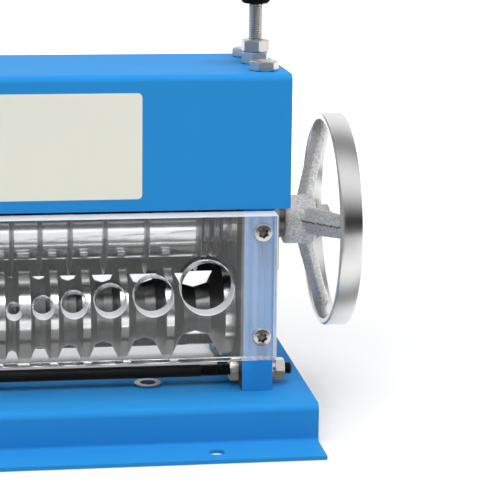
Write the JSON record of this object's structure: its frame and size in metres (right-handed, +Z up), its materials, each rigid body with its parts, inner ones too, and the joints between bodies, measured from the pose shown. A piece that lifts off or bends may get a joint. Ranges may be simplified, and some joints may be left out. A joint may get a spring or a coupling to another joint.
{
  "type": "electric wire stripper",
  "caption": "Bench machine that strips cable: clear guard with feed holes, grooved roller under round blades, adjusting screws, handwheel and geared motor on a bolted base.",
  "frame": {"origin": "centre of the four bench bolt holes, on the underside of the flanges", "axes": "+X along the rollers towards the handwheel, +Y from the feed side to the exit side, +Z up"},
  "size_m": [0.5895, 0.241, 0.3065],
  "materials": {
    "blue_paint": "satin powder coat",
    "grey_paint": "satin enamel",
    "machined_steel": "turned and milled",
    "tool_steel": "hardened and ground",
    "zinc_steel": "bright zinc plate",
    "black_oxide": "black oxide",
    "clear_acrylic": "clear cast sheet with polished edges",
    "bare_sheet": "galvanised sheet",
    "cast_aluminium": "cast, polished on the rim",
    "bronze": "turned bearing bronze",
    "black_plastic": "moulded",
    "white_plastic": "moulded",
    "green_plastic": "moulded",
    "red_plastic": "moulded"
  },
  "bodies": {
    "frame": {"base_plate": "blue_paint", "left_side_plate": "blue_paint", "right_side_plate": "blue_paint", "top_cover": "blue_paint", "gear_case": "blue_paint", "motor_plate": "blue_paint", "motor_body": "grey_paint", "motor_end_bell": "grey_paint", "left_cap_bar": "machined_steel", "right_cap_bar": "machined_steel", "base_washers": "zinc_steel", "deck_bolts": "zinc_steel", "cap_screws": "zinc_steel", "cover_bolts": "zinc_steel", "thread_nuts": "zinc_steel", "lock_nuts": "zinc_steel", "guard_screws": "zinc_steel", "tie_rod_nuts": "zinc_steel", "tie_rod_washers": "zinc_steel", "spring_washers": "zinc_steel", "gear_case_screws": "zinc_steel", "gear_head_bolts": "zinc_steel", "lid_screws": "zinc_steel", "button_bezels": "zinc_steel", "front_tie_rod": "black_oxide", "rear_tie_rod": "black_oxide", "feed_guard": "clear_acrylic", "discharge_plate": "bare_sheet", "gear_head": "cast_aluminium", "roller_bushes": "bronze", "control_box": "black_plastic", "control_box_lid": "black_plastic", "contact_blocks": "black_plastic", "cable_gland": "black_plastic", "run_capacitor": "white_plastic"},
    "roller": {"feed_roller": "machined_steel", "drive_gear": "machined_steel", "drive_key": "machined_steel", "output_shaft": "machined_steel"},
    "carriage": {"left_bearing_block": "machined_steel", "right_bearing_block": "machined_steel", "shaft_bushes": "bronze", "screw_retainers": "machined_steel", "retainer_screws": "zinc_steel"},
    "blade_set": {"blade_shaft": "machined_steel", "blades": "tool_steel", "spacers": "machined_steel", "clamp_nuts": "machined_steel", "driven_gear": "machined_steel", "driven_key": "machined_steel", "handwheel": "cast_aluminium", "wheel_nut": "zinc_steel"},
    "right_screw": {"right_adjusting_screw": "zinc_steel", "right_knob": "black_plastic"},
    "left_screw": {"left_adjusting_screw": "zinc_steel", "left_knob": "black_plastic"},
    "start_push": {"start_button": "green_plastic"},
    "stop_push": {"stop_button": "red_plastic"}
  },
  "joints": [
    {"name": "roller_spin", "type": "hinge", "parent": "frame", "child": "roller", "pos_m": [0.102, 0, 0.069], "axis": [1, 0, 0], "continuous": true},
    {"name": "blade_lift", "type": "slide", "parent": "frame", "child": "carriage", "axis": [0, 0, 1], "range_m": [0, 0.006]},
    {"name": "blade_spin", "type": "hinge", "parent": "carriage", "child": "blade_set", "pos_m": [0.102, 0, 0.129], "axis": [1, 0, 0], "continuous": true},
    {"name": "right_screw_turn", "type": "hinge", "parent": "carriage", "child": "right_screw", "pos_m": [0.23, 0, 0.25], "axis": [0, 0, 1], "range_deg": [0, 1440]},
    {"name": "left_screw_turn", "type": "hinge", "parent": "carriage", "child": "left_screw", "pos_m": [-0.026, 0, 0.25], "axis": [0, 0, 1], "range_deg": [0, 1440]},
    {"name": "start_press", "type": "slide", "parent": "frame", "child": "start_push", "axis": [0, 1, 0], "range_m": [0, 0.003], "stiffness_N_per_m": 400},
    {"name": "stop_press", "type": "slide", "parent": "frame", "child": "stop_push", "axis": [0, 1, 0], "range_m": [0, 0.003], "stiffness_N_per_m": 400}
  ],
  "couplings": [
    {"joint": "blade_spin", "follows": "roller_spin", "ratio": -1},
    {"joint": "right_screw_turn", "follows": "blade_lift", "rad_per_m": 4188.8},
    {"joint": "left_screw_turn", "follows": "blade_lift", "rad_per_m": 4188.8}
  ]
}
